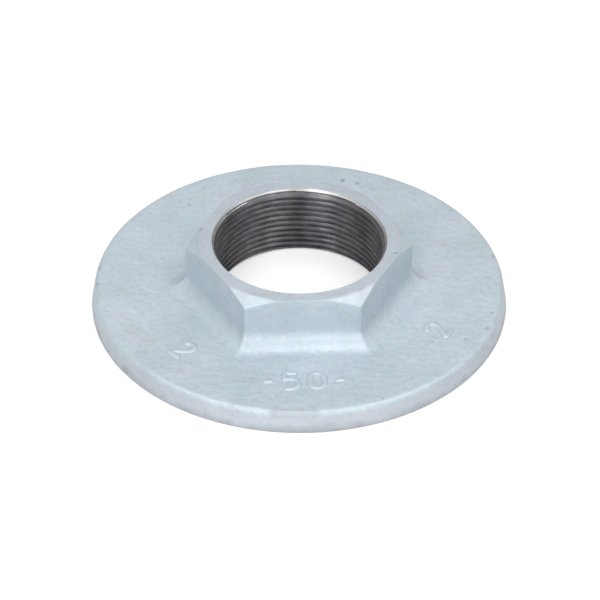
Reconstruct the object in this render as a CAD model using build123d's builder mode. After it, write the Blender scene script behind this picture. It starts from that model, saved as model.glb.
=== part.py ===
# Threaded round flange for steel pipe, cast in malleable iron and hot-dip galvanised.
# One casting: a plain undrilled disc, a hexagonal hub that flares into it, and a bore for the pipe.
# Millimetres, +Z up the bore, origin at the centre of the underside, a flat of the hexagon towards -Y.
from build123d import *
import math
import os

# Disc, level round the hub and rising to its rim
disc_foot_radius = 72.5
web_thickness = 6.7
rim_thickness = 8.0
level_margin = 1.0
rim_draft_angle = 10.5
rim_top_round = 1.5
rim_foot_round = 0.7

# Hexagonal hub
flange_height = 25.6
hub_across_flats = 68.2
hub_sides = 6
hub_flare_radius = 6.2

# Bevel turned on a lathe, which takes the corners off the top of the hexagon
bevel_inset = 4.5
bevel_angle = 36.5

# Bore, at the crests of the pipe thread, with a turned countersink at each end
bore_radius = 28.6
mouth_countersink = 1.65
mouth_countersink_depth = 2.4
foot_countersink = 0.8

# The bevel's cutter runs out clear of the corners
cutter_overrun = 2.0
hub_corner_radius = hub_across_flats / 2 / math.cos(math.pi / hub_sides)
bevel_inner_radius = hub_corner_radius - bevel_inset
bevel_outer_radius = hub_corner_radius + cutter_overrun
mouth_radius = bore_radius + mouth_countersink
foot_radius = bore_radius + foot_countersink

# The web stays level past the outermost points of the flare, where its mitres end
flare_mitre_reach = hub_flare_radius / math.cos(math.pi / hub_sides)
level_radius = hub_corner_radius + flare_mitre_reach + level_margin
rim_top_radius = disc_foot_radius - rim_thickness * math.tan(math.radians(rim_draft_angle))

os.makedirs("parts", exist_ok=True)

with BuildPart() as flange:
    # Disc, drafted at its rim so that it leaves the mould, with both corners of the rim rounded
    with BuildSketch(Plane.XZ):
        with BuildLine():
            Polyline(
                (0, 0),
                (disc_foot_radius, 0),
                (rim_top_radius, rim_thickness),
                (level_radius, web_thickness),
                (0, web_thickness),
                close=True,
            )
        make_face()
        rim_top_corner = vertices().sort_by(Axis.X)[-2]
        fillet(rim_top_corner, radius=rim_top_round)
        rim_foot_corner = vertices().sort_by(Axis.X)[-1]
        fillet(rim_foot_corner, radius=rim_foot_round)
    revolve(axis=Axis.Z)

    # Hexagonal hub standing on the level web
    with BuildSketch(Plane.XY.offset(web_thickness)):
        RegularPolygon(hub_across_flats / 2, hub_sides, major_radius=False)
    extrude(amount=flange_height - web_thickness)

    # Concave flare from the six walls out to the disc, mitred at the corners
    level_lines = flange.edges().filter_by(GeomType.LINE).filter_by(Plane.XY)
    hub_foot = level_lines.group_by(Axis.Z)[0]
    fillet(hub_foot, radius=hub_flare_radius)

    # Bevel round the top of the hub, falling outwards from the edge of the flat ring
    bevel_drop = (bevel_outer_radius - bevel_inner_radius) * math.tan(math.radians(bevel_angle))
    with BuildSketch(Plane.XZ):
        with BuildLine():
            Polyline(
                (bevel_inner_radius, flange_height),
                (bevel_outer_radius, flange_height),
                (bevel_outer_radius, flange_height - bevel_drop),
                close=True,
            )
        make_face()
    revolve(axis=Axis.Z, mode=Mode.SUBTRACT)

    # Bore and its two countersinks
    with BuildSketch(Plane.XZ):
        with BuildLine():
            Polyline(
                (0, 0),
                (foot_radius, 0),
                (bore_radius, foot_countersink),
                (bore_radius, flange_height - mouth_countersink_depth),
                (mouth_radius, flange_height),
                (0, flange_height),
                close=True,
            )
        make_face()
    revolve(axis=Axis.Z, mode=Mode.SUBTRACT)

flange.part.label = "flange"
export_step(flange.part, "parts/flange.step")
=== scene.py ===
import math

import bpy
import numpy as np
from mathutils import Matrix, Vector


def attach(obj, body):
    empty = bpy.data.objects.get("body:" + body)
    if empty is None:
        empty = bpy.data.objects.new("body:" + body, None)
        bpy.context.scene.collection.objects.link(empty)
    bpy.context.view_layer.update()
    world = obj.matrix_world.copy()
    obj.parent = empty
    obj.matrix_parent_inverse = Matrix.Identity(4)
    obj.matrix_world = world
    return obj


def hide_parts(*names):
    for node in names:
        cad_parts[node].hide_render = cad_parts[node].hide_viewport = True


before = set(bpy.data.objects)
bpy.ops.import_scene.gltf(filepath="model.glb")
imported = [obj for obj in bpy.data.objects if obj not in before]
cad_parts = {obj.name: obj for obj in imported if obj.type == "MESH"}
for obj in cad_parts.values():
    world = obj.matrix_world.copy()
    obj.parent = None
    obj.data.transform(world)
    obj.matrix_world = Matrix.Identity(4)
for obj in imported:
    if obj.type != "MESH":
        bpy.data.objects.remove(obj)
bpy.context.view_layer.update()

# A galvanised pipe flange lying with its hub up on a white table.
# The flange is one casting, so its body, its cut thread and its raised numbers make one part.
MM = 0.001
scene = bpy.context.scene
scene.view_settings.view_transform = "Standard"


def from_hex(code):
    """The linear colour of an sRGB hex code, with alpha 1."""
    srgb = np.array([int(code[i:i + 2], 16) for i in (1, 3, 5)]) / 255
    linear = np.where(srgb <= 0.04045, srgb / 12.92, ((srgb + 0.055) / 1.055) ** 2.4)
    return (*linear.tolist(), 1.0)


def add_node(tree, kind, settings=None, **links):
    """Adds a shader node: settings go to its properties, links to its sockets, as values or outputs.
    A socket is named in lower case with _ for each space, or by its number after an n."""
    node = tree.nodes.new(kind)
    for key, value in (settings or {}).items():
        setattr(node, key, value)
    names = {socket.name.lower().replace(" ", "_"): socket for socket in reversed(node.inputs)}
    for key, value in links.items():
        numbered = key[0] == "n" and key[1:].isdigit()
        socket = node.inputs[int(key[1:])] if numbered else names[key]
        if isinstance(value, bpy.types.NodeSocket):
            tree.links.new(value, socket)
        else:
            socket.default_value = value
    return node


def new_material(name):
    """An empty node material and its node tree."""
    material = bpy.data.materials.new(name)
    material.use_nodes = True
    material.node_tree.nodes.clear()
    return material, material.node_tree


# Camera.
# A long lens well above the table, nearly square to one flat of the hexagon.
# The picture is 600 x 600 pixels.
camera_distance = 901 * MM
camera_elevation = math.radians(38.0)
camera_turn = math.radians(-2.253)
camera_roll = math.radians(0.269)
camera_lens = 154.3
camera_sensor = 36
camera_near_clip = 0.01
aim_right = 0.304 * MM
aim_up = -0.642 * MM

back = Vector((
    math.cos(camera_elevation) * math.sin(camera_turn),
    -math.cos(camera_elevation) * math.cos(camera_turn),
    math.sin(camera_elevation),
))
right = Vector((math.cos(camera_turn), math.sin(camera_turn), 0))
up = back.cross(right)
place = Matrix((right, up, back)).transposed().to_4x4()
place.translation = back * camera_distance + right * aim_right + up * aim_up
camera_data = bpy.data.cameras.new("camera")
camera_data.sensor_width = camera_sensor
camera_data.lens = camera_lens
camera_data.clip_start = camera_near_clip
camera = bpy.data.objects.new("camera", camera_data)
camera.matrix_world = place @ Matrix.Rotation(camera_roll, 4, "Z")
scene.collection.objects.link(camera)
scene.camera = camera


# Table and light.
# A plain white table that fades into a white room, lit by softboxes: a pair overhead,
# a pair out to the sides, a low pair in front, either side of the camera, and one above and behind.
table_half = 6.0
white = from_hex("#FFFFFF")
table_paint = from_hex("#F4F4F4")
# How bright the room lights the object, while the camera sees it at 1
room_light = 0.01
# The table's own light by the object, which rises to 1 between two distances from the middle, in metres
table_lift = 0.40
table_lift_near = 0.2
table_lift_far = 0.8


def background_ray(tree):
    """1 for what the camera sees, directly, mirrored or through glass, and 0 for light on the object."""
    path = add_node(tree, "ShaderNodeLightPath")
    straight_or_glossy = add_node(
        tree, "ShaderNodeMath", {"operation": "MAXIMUM"},
        n0=path.outputs["Is Camera Ray"], n1=path.outputs["Is Glossy Ray"],
    )
    return add_node(
        tree, "ShaderNodeMath", {"operation": "MAXIMUM"},
        n0=straight_or_glossy.outputs[0], n1=path.outputs["Is Transmission Ray"],
    ).outputs[0]


world = bpy.data.worlds.new("white_room")
scene.world = world
world.use_nodes = True
room = world.node_tree
room.nodes.clear()
room_strength = add_node(
    room, "ShaderNodeMapRange",
    value=background_ray(room), to_min=room_light, to_max=1.0,
)
room_glow = add_node(
    room, "ShaderNodeBackground", color=white, strength=room_strength.outputs[0],
)
add_node(room, "ShaderNodeOutputWorld", surface=room_glow.outputs[0])

# White board: matt, and where the camera sees it far off, as white as the room
table_white, tree = new_material("white_table")
from_middle = add_node(
    tree, "ShaderNodeVectorMath", {"operation": "LENGTH"},
    n0=add_node(tree, "ShaderNodeTexCoord").outputs["Object"],
).outputs["Value"]
lift = add_node(
    tree, "ShaderNodeMapRange", {"interpolation_type": "SMOOTHSTEP"},
    value=from_middle, from_min=table_lift_near, from_max=table_lift_far,
    to_min=table_lift, to_max=1.0,
).outputs[0]
own_light = add_node(
    tree, "ShaderNodeMath", {"operation": "MULTIPLY"}, n0=background_ray(tree), n1=lift,
)
glow = add_node(tree, "ShaderNodeEmission", color=white, strength=own_light.outputs[0])
paint = add_node(tree, "ShaderNodeBsdfDiffuse", color=table_paint)
both = add_node(tree, "ShaderNodeAddShader", n0=glow.outputs[0], n1=paint.outputs[0])
add_node(tree, "ShaderNodeOutputMaterial", surface=both.outputs[0])

table_mesh = bpy.data.meshes.new("table")
table_mesh.from_pydata(
    [(x * table_half, y * table_half, 0) for x, y in ((-1, -1), (1, -1), (1, 1), (-1, 1))],
    [], [(0, 1, 2, 3)],
)
table_mesh.materials.append(table_white)
table = bpy.data.objects.new("table", table_mesh)
scene.collection.objects.link(table)


def softbox(name, place, size_x, size_y, glow):
    """A rectangular area lamp at place, in metres, which faces the origin.
    Its face is glow times as bright as a white wall in plain light."""
    data = bpy.data.lights.new(name, "AREA")
    data.shape = "RECTANGLE"
    data.size = size_x
    data.size_y = size_y
    data.energy = glow * math.pi * size_x * size_y
    lamp = bpy.data.objects.new(name, data)
    lamp.location = place
    lamp.rotation_euler = (-Vector(place)).to_track_quat("-Z", "Y").to_euler()
    scene.collection.objects.link(lamp)


# The overhead pair are long strips, which show in the thread as two bright bands
softbox("overhead_left", (-0.43, -0.30, 1.25), 0.12, 1.20, 10.3)
softbox("overhead_right", (0.32, -0.30, 1.25), 0.11, 1.20, 8.8)
softbox("upper_back", (0, 0.55, 1.25), 0.90, 0.50, 1.75)
softbox("side_left", (-0.85, -0.25, 1.00), 0.70, 1.20, 0.7)
softbox("side_right", (0.85, -0.25, 1.00), 0.70, 1.20, 1.6)
softbox("low_front_left", (-0.40, -0.95, 0.28), 0.50, 0.35, 7.4)
softbox("low_front_right", (0.40, -0.95, 0.28), 0.50, 0.35, 3.6)


# Casting.
# A disc, a hexagonal hub flared into it and a threaded bore, in malleable iron.
# It is cast in sand, dipped in zinc, then bored, countersunk and threaded.

# Disc, level round the hub and rising to its rim
disc_foot_radius = 72.5 * MM
web_thickness = 6.7 * MM
rim_thickness = 8.0 * MM
level_margin = 1.0 * MM
rim_draft = math.radians(10.5)
rim_top_round = 1.5 * MM
rim_foot_round = 0.7 * MM
# The bend from level to rise is eased from one length before it to another after it
level_cut = 0.9 * MM
rise_cut = 6 * MM

# Hexagonal hub and its turned bevel
flange_height = 25.6 * MM
hub_across_flats = 68.2 * MM
flare_radius = 6.2 * MM
bevel_inset = 4.5 * MM
bevel_angle = math.radians(36.5)
least_bevel = 0.4 * MM
cast_edge = 0.5 * MM
arris_power = 130

# Bore, with a parallel pipe thread of 11 turns to the inch and a countersink at each end.
# The thread's roots are rounded to 0.1373 of its pitch. On the +X side a groove lies at groove_height.
crest_radius = 28.6 * MM
root_radius = 29.81 * MM
thread_pitch = 25.4 / 11 * MM
thread_flank = math.radians(27.5)
thread_round = 0.1373 * thread_pitch
groove_height = 21.67 * MM
mouth_countersink = 1.65 * MM
mouth_countersink_depth = 2.4 * MM
foot_countersink = 0.8 * MM
# The mouth's countersink shows as turned metal outside this radius
turned_radius = 29.3 * MM

# Slow waves of the cast skin, and how far from the bore and the table they fade out
uneven_depth = 0.10 * MM
uneven_lengths = (46, 31, 23, 17, 13, 9, 7)
uneven_seed = 7
uneven_fade = 1.5 * MM

# A mark's depth at its middle and its spread, as shares of its radius
mark_depth = 0.28
mark_spread = 0.8

hub_apothem = hub_across_flats / 2
hub_corner_radius = hub_apothem / math.cos(math.radians(30))
bevel_inner_radius = hub_corner_radius - bevel_inset
level_radius = hub_corner_radius + flare_radius / math.cos(math.radians(30)) + level_margin
rim_top_radius = disc_foot_radius - rim_thickness * math.tan(rim_draft)
rim_rise = math.atan((rim_thickness - web_thickness) / (rim_top_radius - level_radius))
mouth_radius = crest_radius + mouth_countersink
foot_radius = crest_radius + foot_countersink

# Steps of the mesh
steps_per_side = 72
corner_bunching = 0.72
bore_steps = 128
sharpest_smooth = math.radians(42)


def hub_angles():
    """Angles round the axis from one corner of the hexagon, six sides long, closer near each corner.
    Each side is an even run plus a sine wave that slows the steps at its two ends."""
    run = np.arange(6 * steps_per_side) / steps_per_side
    return np.radians(60) * (run - corner_bunching * np.sin(2 * np.pi * run) / (2 * np.pi))


def side_share(angle):
    """The distance from the axis to a side of the hexagon, over its distance at that angle.
    It is the largest cosine of the angle to a side, as a power mean so that the corners are round."""
    sides = np.radians(30 + 60 * np.arange(6))
    cosines = np.maximum(np.cos(angle[:, None] - sides), 0)
    return (cosines ** arris_power).sum(1) ** (1 / arris_power)


def thread_radius(height, angle):
    """The radius of a right-hand 55 degree thread with round roots and crests cut flat.
    From the middle of a groove, it falls along an arc and a straight flank to the crest's radius."""
    turns = (height - groove_height) / thread_pitch - angle / (2 * np.pi)
    across = np.abs(turns - np.round(turns)) * thread_pitch
    arc_half = thread_round * math.cos(thread_flank)
    arc_drop = thread_round * (1 - math.sin(thread_flank))
    root_arc = thread_round - np.sqrt(np.maximum(thread_round ** 2 - across ** 2, 0))
    slope = arc_drop + (across - arc_half) / math.tan(thread_flank)
    return np.maximum(root_radius - np.where(across < arc_half, root_arc, slope), crest_radius)


def unevenness(points):
    """Slow waves in the cast skin, from 0 to 1: a sum of sines along fixed random directions.
    Each sine is as strong as the square root of its length."""
    waves = np.random.default_rng(uneven_seed)
    total = np.zeros(points.shape[:-1])
    for wavelength in uneven_lengths:
        direction = waves.normal(size=3)
        direction *= 2 * np.pi / (wavelength * MM) / np.linalg.norm(direction)
        total += np.sin(points @ direction + waves.uniform(0, 2 * np.pi)) * wavelength ** 0.5
    return 0.5 + 0.5 * total / np.abs(total).max()


def bore_wall(angle):
    """Radius and height up the bore, and where the countersink of the mouth is clear of the thread.
    At each height the radius is the widest of the thread and the two countersinks."""
    height = np.linspace(0, flange_height, bore_steps)[:, None] + 0 * angle
    thread = thread_radius(height, angle)
    mouth = mouth_radius - (flange_height - height) * mouth_countersink / mouth_countersink_depth
    foot = foot_radius - height
    turned = (mouth > thread) & (mouth > turned_radius)
    return np.maximum(thread, np.maximum(mouth, foot)), height, turned


def cut_share(cut, length, corner):
    """The share of a straight run that a corner's cut takes.
    The runs at the hub's top are short, so corners 1 and 2 take half of one at most."""
    most = 0.5 if corner <= 2 else 1
    return np.minimum(np.reshape(cut, (-1, 1)) / length, most)


def cast_profile(angle, start_radius, end_radius):
    """Radius and height from the mouth of the bore out, down the hub and the rim, and back below.
    It follows straight lines between corners, and each corner is a conic arc between two cuts."""
    flat = side_share(angle)
    wall = hub_apothem / flat
    bevel_start = np.minimum(bevel_inner_radius, wall - least_bevel)
    wall_top = flange_height - np.maximum(wall - bevel_inner_radius, 0) * math.tan(bevel_angle)
    rim_top_cut = rim_top_round * math.tan(math.radians(45) - rim_draft / 2 + rim_rise / 2)
    rim_foot_cut = rim_foot_round * math.tan(math.radians(45) + rim_draft / 2)
    # Each corner's radius, height, cuts before and after it, and points round it and along the next run
    corners = [
        (start_radius, flange_height, 0, 0, 1, 4),
        (bevel_start, flange_height, 0.5 * cast_edge, 0.5 * cast_edge, 3, 4),
        (wall, wall_top, 0.5 * cast_edge, cast_edge, 4, 3),
        (wall, web_thickness, flare_radius, flare_radius / flat, 13, 3),
        (level_radius, web_thickness, level_cut, rise_cut, 6, 8),
        (rim_top_radius, rim_thickness, rim_top_cut, rim_top_cut, 7, 5),
        (disc_foot_radius, 0, rim_foot_cut, rim_foot_cut, 4, 10),
        (end_radius, 0, 0, 0, 1, 0),
    ]
    points = [np.stack([r + 0 * angle, z + 0 * angle], 1) for r, z, *_ in corners]
    rows = []
    for i, (_, _, before, after, round_count, run_count) in enumerate(corners):
        here = points[i]
        if round_count == 1:
            rows.append(here)
            leave = here
        else:
            back_way = points[i - 1] - here
            on_way = points[i + 1] - here
            back_length = np.linalg.norm(back_way, axis=1, keepdims=True)
            on_length = np.linalg.norm(on_way, axis=1, keepdims=True)
            enter = here + back_way * cut_share(before, back_length, i)
            leave = here + on_way * cut_share(after, on_length, i)
            turn = (back_way * on_way).sum(1, keepdims=True) / (back_length * on_length)
            weight = np.sqrt((1 - turn) / 2)
            for t in np.linspace(0, 1, round_count):
                pull = 2 * weight * t * (1 - t)
                arc = (1 - t) ** 2 * enter + pull * here + t ** 2 * leave
                rows.append(arc / ((1 - t) ** 2 + pull + t ** 2))
        if run_count:
            following = points[i + 1]
            length = np.linalg.norm(following - here, axis=1, keepdims=True)
            arrive = following + (here - following) * cut_share(corners[i + 1][2], length, i + 1)
            for t in np.linspace(0, 1, run_count + 2)[1:-1]:
                rows.append(leave + (arrive - leave) * t)
    profile = np.array(rows)
    return profile[..., 0], profile[..., 1]


def closed_grid_mesh(name, points, materials, material_of_quad):
    """A mesh of quads over a grid of points that closes on itself both ways.
    Row i joins row i + 1, and the last row joins the first. Each quad has its material's number."""
    rows, columns = points.shape[:2]
    number = np.arange(rows * columns).reshape(rows, columns)
    below = np.roll(number, -1, 0)
    quads = np.stack([number, np.roll(number, -1, 1), np.roll(below, -1, 1), below], -1).reshape(-1, 4)
    mesh = bpy.data.meshes.new(name)
    mesh.vertices.add(rows * columns)
    mesh.vertices.foreach_set("co", points.astype(np.float32).ravel())
    mesh.loops.add(quads.size)
    mesh.loops.foreach_set("vertex_index", quads.astype(np.int32).ravel())
    mesh.polygons.add(len(quads))
    mesh.polygons.foreach_set("loop_start", np.arange(0, quads.size, 4, dtype=np.int32))
    mesh.polygons.foreach_set("material_index", material_of_quad.astype(np.int32).ravel())
    for material in materials:
        mesh.materials.append(material)
    mesh.update(calc_edges=True)
    mesh.validate()
    mesh.shade_smooth()
    mesh.set_sharp_from_angle(angle=sharpest_smooth)
    return mesh


# Hot-dip zinc: a matt, pale blue-grey metal skin with cloudy tone and a fine sandy grain,
# which follows the sand-cast surface under it. The rim's wall is painted a darker tone and its foot
# darker still, in blotches, both painted shade; the skin has small dark pits, knocks and a few
# yellow-brown stains.
zinc_dull = from_hex("#B7C4CB")
zinc_pale = from_hex("#C3CED7")
# The colour of pits, knocks and specks, and of the painted shade at the rim's foot and front patch
mark_and_shade_grey = from_hex("#8C9094")
stain_brown = from_hex("#B5A98C")
ring_grey = from_hex("#AFB2BB")
# The rim's wall is painted a darker tone: painted shade
rim_wall_shade = from_hex("#B7B6BE")
cloud_size = 14 * MM
mottle_size = 3.2 * MM
speck_size = 1.7 * MM
ripple_size = 2.5 * MM
ripple_depth = 0.30 * MM
# The grain is drawn coarser than the moulding sand's, which is too fine to show
grain_size = 0.8 * MM
grain_depth = 0.045 * MM
# How far the edges of marks and stains wander
ragged_reach = 2.4 * MM
# How far each takes the colour towards its own, from 0 to 1
mottle_strength = 0.11
stain_strength = 0.20
speck_strength = 0.20
mark_strength = 0.62
patch_shade_strength = 0.35
# The rim's foot is darkened in blotches: painted shade
foot_shade_strength = 0.60
ring_strength = 0.4
rim_wall_shade_strength = 0.4
# Heights where the hub's ring tone and the painted shade on the rim's wall start, and where they are full
rim_wall_start = 6.6 * MM
rim_wall_full = 5.9 * MM
ring_start = flange_height - 0.5 * MM
ring_full = flange_height - 0.25 * MM
# The painted shade at the rim's foot starts and is full at these heights plus a noise times its wander
foot_shade_size = 7 * MM
foot_shade_wander = 7 * MM
foot_shade_start = 0
foot_shade_full = -3.2 * MM
# Pits and knocks: places in mm, and the radius of each
dark_marks = (
    (-33.8, 7.2, 25.6, 1.1), (-34.3, -7.6, 22.5, 1.1), (32.4, -8.2, 25.6, 1.0), (22.0, -23.1, 23.5, 1.0),
    (21.2, -32.6, 22.0, 0.9), (-23.2, -30.8, 14.0, 1.0), (29.5, 5.8, 25.6, 0.9), (55.3, -34.5, 7.4, 0.7),
    (43.8, -34.3, 7.2, 0.7), (45.2, -6.2, 7.0, 0.7), (65.4, -20.6, 7.9, 0.8), (25.3, -64.3, 7.9, 0.7),
    (63.3, -28.8, 8.0, 1.3), (64.6, -29.6, 5.0, 1.3), (22.9, -34.4, 16.0, 0.9), (20.6, -35.2, 14.5, 0.8),
    (-69.8, 9.3, 7.9, 0.9), (-70.4, 0.6, 7.8, 1.0), (68.8, 12.0, 7.9, 0.9), (-38.2, 46.5, 7.4, 0.7),
    (18.2, 60.5, 7.4, 1.4), (23.6, 58.4, 7.4, 1.3),
)
# The slightly hollow patch at the front of the rim, as a row of spots round its top edge. Its colour is
# darkened to dim the rim's highlight there: painted shade
patch_radius = 70.9
patch_spots = tuple(
    (x, -(patch_radius ** 2 - x ** 2) ** 0.5, 7.8, 3.2) for x in (-10, -8, -6, -4, -2, 0, 2)
)
patch_depth = 0.13 * MM
# Stains: places in mm, and the radius of each
stains = ((-51.7, -31.3, 7.3, 3.2), (-57.8, -25.5, 7.6, 4.0), (52.0, 20.5, 7.3, 2.6))


def nearness(tree, place, marks):
    """How close a place is to the nearest of some marks: 0 beyond its radius and 1 inside 0.4 of it."""
    total = 0.0
    for x, y, z, size in marks:
        distance = add_node(
            tree, "ShaderNodeVectorMath", {"operation": "DISTANCE"},
            n0=place, n1=(x * MM, y * MM, z * MM),
        ).outputs["Value"]
        near = add_node(
            tree, "ShaderNodeMapRange",
            value=distance, from_min=size * MM, from_max=0.4 * size * MM,
        ).outputs[0]
        total = add_node(
            tree, "ShaderNodeMath", {"operation": "MAXIMUM"}, n0=total, n1=near,
        ).outputs[0]
    return total


zinc, tree = new_material("hot_dip_zinc")
place_on = add_node(tree, "ShaderNodeTexCoord").outputs["Object"]
cloud = add_node(
    tree, "ShaderNodeTexNoise", {"noise_dimensions": "3D"},
    vector=place_on, scale=1 / cloud_size, detail=3.0, roughness=0.55,
)
cloud_tone = add_node(tree, "ShaderNodeValToRGB", fac=cloud.outputs[0])
stops = cloud_tone.color_ramp.elements
stops[0].position = 0.30
stops[0].color = zinc_dull
stops[1].position = 0.70
stops[1].color = zinc_pale
tint = add_node(
    tree, "ShaderNodeTexNoise", {"noise_dimensions": "3D"},
    vector=place_on, scale=1 / mottle_size, detail=3.0, roughness=0.65,
)
tinted = add_node(
    tree, "ShaderNodeMix", {"data_type": "RGBA", "blend_type": "OVERLAY"},
    n0=mottle_strength, n6=cloud_tone.outputs[0], n7=tint.outputs[1],
)
wander = add_node(
    tree, "ShaderNodeVectorMath", {"operation": "SUBTRACT"}, n0=tint.outputs[1], n1=(0.5, 0.5, 0.5),
)
ragged_place = add_node(
    tree, "ShaderNodeVectorMath", {"operation": "MULTIPLY_ADD"},
    n0=wander.outputs[0], n1=(ragged_reach,) * 3, n2=place_on,
).outputs[0]
stain_share = add_node(
    tree, "ShaderNodeMath", {"operation": "MULTIPLY"},
    n0=nearness(tree, ragged_place, stains), n1=stain_strength,
)
yellowed = add_node(
    tree, "ShaderNodeMix", {"data_type": "RGBA", "blend_type": "MIX"},
    n0=stain_share.outputs[0], n6=tinted.outputs[2], n7=stain_brown,
)
height_on = add_node(tree, "ShaderNodeSeparateXYZ", n0=place_on).outputs[2]
# Painted shade low on the rim's wall, blotchy and darker towards the table
foot_shade_noise = add_node(
    tree, "ShaderNodeTexNoise", {"noise_dimensions": "3D"},
    vector=place_on, scale=1 / foot_shade_size, detail=3.0, roughness=0.6,
)
foot_shade_edge = add_node(
    tree, "ShaderNodeMath", {"operation": "MULTIPLY_ADD"},
    n0=foot_shade_noise.outputs[0], n1=-foot_shade_wander, n2=height_on,
)
foot_shaded = add_node(
    tree, "ShaderNodeMapRange", value=foot_shade_edge.outputs[0],
    from_min=foot_shade_start, from_max=foot_shade_full, to_max=foot_shade_strength,
).outputs[0]
speck = add_node(
    tree, "ShaderNodeTexNoise", {"noise_dimensions": "3D"},
    vector=place_on, scale=1 / speck_size, detail=1.0, roughness=0.5,
)
marks_and_shade = add_node(
    tree, "ShaderNodeMapRange",
    value=speck.outputs[0], from_min=0.54, from_max=0.80, to_max=speck_strength,
).outputs[0]
# Pits and knocks are dark in colour; the hollow patch is darkened as painted shade, to dim the rim's
# highlight
for marks, strength in ((dark_marks, mark_strength), (patch_spots, patch_shade_strength)):
    marked = add_node(
        tree, "ShaderNodeMath", {"operation": "MULTIPLY"},
        n0=nearness(tree, ragged_place, marks), n1=strength,
    ).outputs[0]
    marks_and_shade = add_node(
        tree, "ShaderNodeMath", {"operation": "MAXIMUM"}, n0=marks_and_shade, n1=marked,
    ).outputs[0]
# The painted shade at the rim's foot joins the darkening of the marks
marks_and_shade = add_node(
    tree, "ShaderNodeMath", {"operation": "MAXIMUM"}, n0=marks_and_shade, n1=foot_shaded,
).outputs[0]
on_ring = add_node(
    tree, "ShaderNodeMapRange",
    value=height_on, from_min=ring_start, from_max=ring_full, to_max=ring_strength,
)
ringed = add_node(
    tree, "ShaderNodeMix", {"data_type": "RGBA", "blend_type": "MIX"},
    n0=on_ring.outputs[0], n6=yellowed.outputs[2], n7=ring_grey,
)
# Painted shade: the rim's wall is darker
rim_wall_shade_share = add_node(
    tree, "ShaderNodeMapRange",
    value=height_on, from_min=rim_wall_start, from_max=rim_wall_full, to_max=rim_wall_shade_strength,
)
rim_wall_shaded = add_node(
    tree, "ShaderNodeMix", {"data_type": "RGBA", "blend_type": "MIX"},
    n0=rim_wall_shade_share.outputs[0], n6=ringed.outputs[2], n7=rim_wall_shade,
)
# Marks and painted shade darken the colour together
marked_and_shaded = add_node(
    tree, "ShaderNodeMix", {"data_type": "RGBA", "blend_type": "MIX"},
    n0=marks_and_shade, n6=rim_wall_shaded.outputs[2], n7=mark_and_shade_grey,
)
grain = add_node(
    tree, "ShaderNodeTexNoise", {"noise_dimensions": "3D"},
    vector=place_on, scale=1 / grain_size, detail=2.0, roughness=0.6,
)
ripple = add_node(
    tree, "ShaderNodeTexNoise", {"noise_dimensions": "3D"},
    vector=place_on, scale=1 / ripple_size, detail=2.0, roughness=0.5,
)
grain_bump = add_node(
    tree, "ShaderNodeBump", strength=1.0, distance=grain_depth, height=grain.outputs[0],
)
skin_bump = add_node(
    tree, "ShaderNodeBump", strength=1.0, distance=ripple_depth,
    height=ripple.outputs[0], normal=grain_bump.outputs[0],
)
skin_gloss = add_node(
    tree, "ShaderNodeMapRange", value=ripple.outputs[0], to_min=0.46, to_max=0.58,
)
skin = add_node(
    tree, "ShaderNodeBsdfPrincipled",
    base_color=marked_and_shaded.outputs[2], metallic=0.30,
    roughness=skin_gloss.outputs[0], normal=skin_bump.outputs[0],
)
add_node(tree, "ShaderNodeOutputMaterial", surface=skin.outputs[0])

# Cut iron: bare, dark grey and wet with thread-cutting oil. The tap leaves fine lines round the bore,
# which spread its shine up and down the bore and hardly at all round it.
iron_dark = from_hex("#4E5056")
iron_light = from_hex("#696769")
wear_size = 5 * MM
cut_iron, tree = new_material("oiled_cut_iron")
place_on = add_node(tree, "ShaderNodeTexCoord").outputs["Object"]
wear = add_node(
    tree, "ShaderNodeTexNoise", {"noise_dimensions": "3D"},
    vector=place_on, scale=1 / wear_size, detail=2.0,
)
iron_tone = add_node(tree, "ShaderNodeValToRGB", fac=wear.outputs[0])
stops = iron_tone.color_ramp.elements
stops[0].position = 0.3
stops[0].color = iron_dark
stops[1].position = 0.7
stops[1].color = iron_light
round_bore = add_node(tree, "ShaderNodeTangent", {"direction_type": "RADIAL", "axis": "Z"})
iron = add_node(
    tree, "ShaderNodeBsdfPrincipled",
    base_color=iron_tone.outputs[0], metallic=1.0, roughness=0.37,
    anisotropic=1.0, anisotropic_rotation=0.25, tangent=round_bore.outputs[0],
    coat_weight=0.3, coat_roughness=0.28,
)
add_node(tree, "ShaderNodeOutputMaterial", surface=iron.outputs[0])

# Bright iron: the countersink at the mouth of the bore, fresh from the lathe and cleaner than the thread.
turned_grey = from_hex("#B2B2B2")
bright_cut, tree = new_material("bright_turned_iron")
round_mouth = add_node(tree, "ShaderNodeTangent", {"direction_type": "RADIAL", "axis": "Z"})
turned_iron = add_node(
    tree, "ShaderNodeBsdfPrincipled", base_color=turned_grey, metallic=1.0, roughness=0.38,
    anisotropic=0.8, anisotropic_rotation=0.25, tangent=round_mouth.outputs[0],
)
add_node(tree, "ShaderNodeOutputMaterial", surface=turned_iron.outputs[0])


def hollow(points, x, y, z, size):
    """The form of a dent at a mark: 1 at its middle, falling off as a bell curve with the distance."""
    distance = np.linalg.norm(points - np.array([x, y, z]) * MM, axis=-1)
    return np.exp(-(distance / (mark_spread * size * MM)) ** 2)


angle = hub_angles()
bore_radii, bore_heights, turned = bore_wall(angle)
skin_radii, skin_heights = cast_profile(angle, bore_radii[-1], bore_radii[0])
radii = np.concatenate([bore_radii, skin_radii[1:-1]])
heights = np.concatenate([bore_heights, skin_heights[1:-1]])
casting_points = np.stack([radii * np.cos(angle), radii * np.sin(angle), heights], -1)

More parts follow.
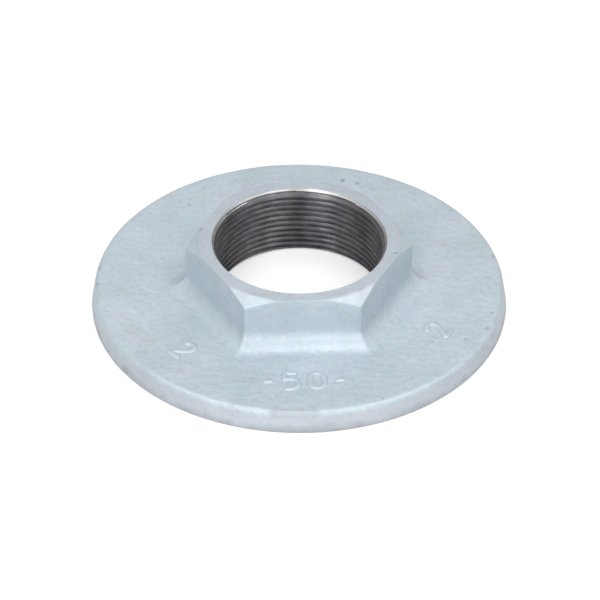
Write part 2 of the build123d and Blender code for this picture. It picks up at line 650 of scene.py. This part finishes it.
# The cast skin dips a little here and there, away from the machined bore and from the flat underside
along = np.roll(casting_points, -1, 1) - np.roll(casting_points, 1, 1)
down = np.roll(casting_points, -1, 0) - np.roll(casting_points, 1, 0)
inward = np.cross(along, down)
inward /= np.maximum(np.linalg.norm(inward, axis=-1, keepdims=True), 1e-12)
clear_of_bore = np.clip((radii - mouth_radius) / uneven_fade, 0, 1)
clear_of_table = np.clip(heights / uneven_fade, 0, 1)
dip = unevenness(casting_points) * uneven_depth * clear_of_bore * clear_of_table
for x, y, z, size in dark_marks:
    depth = mark_depth * size * MM
    dip += depth * hollow(casting_points, x, y, z, size) * clear_of_bore
for x, y, z, size in patch_spots:
    dip += patch_depth * hollow(casting_points, x, y, z, size)
casting_points += inward * dip[..., None]

materials = [zinc, cut_iron, bright_cut]
material_of_quad = np.full(radii.shape, materials.index(zinc))
material_of_quad[:bore_steps - 1] = np.where(
    turned[:-1], materials.index(bright_cut), materials.index(cut_iron),
)
casting_mesh = closed_grid_mesh("casting", casting_points, materials, material_of_quad)
casting = bpy.data.objects.new("casting", casting_mesh)
scene.collection.objects.link(casting)
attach(casting, "root")
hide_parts("flange")


# Raised numbers.
# Plain numbers on the disc give the nominal size, in millimetres in front and in inches at each side.
# They are cast with the disc and dipped with it, so the zinc makes them low and soft.
figure_height = 8.6 * MM
stroke_half_width = 1.1 * MM
stroke_half_height = 0.52 * MM
stroke_sink = 0.06 * MM
stroke_sides = 14
stroke_steps = 40
stroke_end = 0.12
front_radius = 53.7 * MM
side_radius = 54.0 * MM

# Each figure's path in shares of its height, to the right and up
figure_five = (
    (0.58, 1.0), (0.10, 1.0), (0.10, 1.0), (0.06, 0.60), (0.06, 0.60), (0.34, 0.66), (0.60, 0.50),
    (0.60, 0.16), (0.36, 0.0), (0.10, 0.0), (0.02, 0.04),
)
figure_nought = (
    (0.30, 1.0), (0.54, 0.88), (0.60, 0.5), (0.54, 0.12),
    (0.30, 0.0), (0.06, 0.12), (0.0, 0.5), (0.06, 0.88),
)
figure_two = (
    (0.04, 0.74), (0.10, 0.92), (0.30, 1.0), (0.52, 0.92), (0.56, 0.70), (0.42, 0.44),
    (0.0, 0.0), (0.0, 0.0), (0.60, 0.0),
)
figure_bar = ((0.0, 0.5), (0.45, 0.5))


def rounded_path(path, closed):
    """Cuts the corners of a path three times, at a quarter and three quarters of each stretch."""
    points = np.array(path)
    for _ in range(3):
        following = np.roll(points, -1, 0) if closed else points[1:]
        start = points if closed else points[:-1]
        cuts = np.stack([0.75 * start + 0.25 * following, 0.25 * start + 0.75 * following], 1)
        points = cuts.reshape(-1, 2)
        if not closed:
            points = np.concatenate([path[:1], points, path[-1:]])
    return points


def stroke_line(path, closed, shift):
    """Points along a figure's path, the way ahead at each, and the stroke's swell there, from 0 to 1.
    The swell is even, but round each open end it follows a circle as wide as the stroke."""
    points = rounded_path(path, closed) * figure_height
    points += [shift, -figure_height / 2]
    if closed:
        ahead = np.roll(points, -1, 0) - np.roll(points, 1, 0)
        swell = np.ones(len(points))
    else:
        run = np.concatenate([[0], np.cumsum(np.linalg.norm(np.diff(points, axis=0), axis=1))])
        length = run[-1]
        end_places = stroke_half_width * (1 - np.sin(np.radians((70, 45, 20, 0))))
        clear_of_end = 1.2 * stroke_half_width
        even_places = np.linspace(clear_of_end, length - clear_of_end, stroke_steps)
        places = np.concatenate([end_places, even_places, length - end_places])
        places = np.unique(np.clip(places, 0, length))
        points = np.stack([np.interp(places, run, points[:, k]) for k in (0, 1)], 1)
        ahead = np.gradient(points, axis=0)
        inside = np.clip(1 - np.minimum(places, length - places) / stroke_half_width, 0, 1)
        swell = np.maximum(np.sqrt(1 - inside ** 2), stroke_end)
    return points, ahead / np.maximum(np.linalg.norm(ahead, axis=1, keepdims=True), 1e-9), swell


def add_stroke(vertices, faces, path, closed, azimuth, middle_radius, shift):
    """Adds a figure's stroke to lists of vertices and faces, upright towards the middle of the disc.
    Its section is an ellipse, half sunk in the disc, swelled and carried along the stroke's line."""
    points, ahead, swell = stroke_line(path, closed, shift)
    side = np.stack([ahead[:, 1], -ahead[:, 0]], 1)
    turn = 2 * np.pi * np.arange(stroke_sides) / stroke_sides
    reach = stroke_half_width * swell[:, None] * np.cos(turn)
    lift = stroke_half_height * swell[:, None] * np.sin(turn)
    flat = points[:, None] + side[:, None] * reach[..., None]
    outward = np.array([math.cos(azimuth), math.sin(azimuth)])
    upright = -outward
    rightward = np.array([upright[1], -upright[0]])
    plan = outward * middle_radius + flat[..., :1] * rightward + flat[..., 1:] * upright
    distance = np.linalg.norm(plan, axis=-1)
    skin_height = web_thickness + np.maximum(distance - level_radius, 0) * math.tan(rim_rise)
    places = np.concatenate([plan, (skin_height - stroke_sink + lift)[..., None]], -1)
    number = len(vertices) + np.arange(lift.size).reshape(lift.shape)
    next_number = np.roll(number, -1, 0)
    quads = np.stack([
        number, next_number, np.roll(next_number, -1, 1), np.roll(number, -1, 1),
    ], -1)
    vertices.extend(places.reshape(-1, 3).tolist())
    faces.extend((quads if closed else quads[:-1]).reshape(-1, 4).tolist())
    if not closed:
        faces.append(number[0].tolist())
        faces.append(number[-1, ::-1].tolist())


number_vertices = []
number_faces = []
# Figure, whether its path closes, its direction from the middle in degrees, its distance and its shift
for figure, closed, azimuth, middle_radius, shift in (
    (figure_bar, False, -90, front_radius, -14.2 * MM),
    (figure_five, False, -90, front_radius, -7.4 * MM),
    (figure_nought, True, -90, front_radius, 1.4 * MM),
    (figure_bar, False, -90, front_radius, 9.8 * MM),
    (figure_two, False, -138, side_radius, -2.8 * MM),
    (figure_two, False, -31, side_radius, -2.8 * MM),
):
    add_stroke(
        number_vertices, number_faces, figure, closed, math.radians(azimuth), middle_radius, shift,
    )
number_mesh = bpy.data.meshes.new("raised_numbers")
number_mesh.from_pydata(number_vertices, [], number_faces)
number_mesh.materials.append(zinc)
number_mesh.validate()
number_mesh.shade_smooth()
raised_numbers = bpy.data.objects.new("raised_numbers", number_mesh)
scene.collection.objects.link(raised_numbers)
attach(raised_numbers, "root")
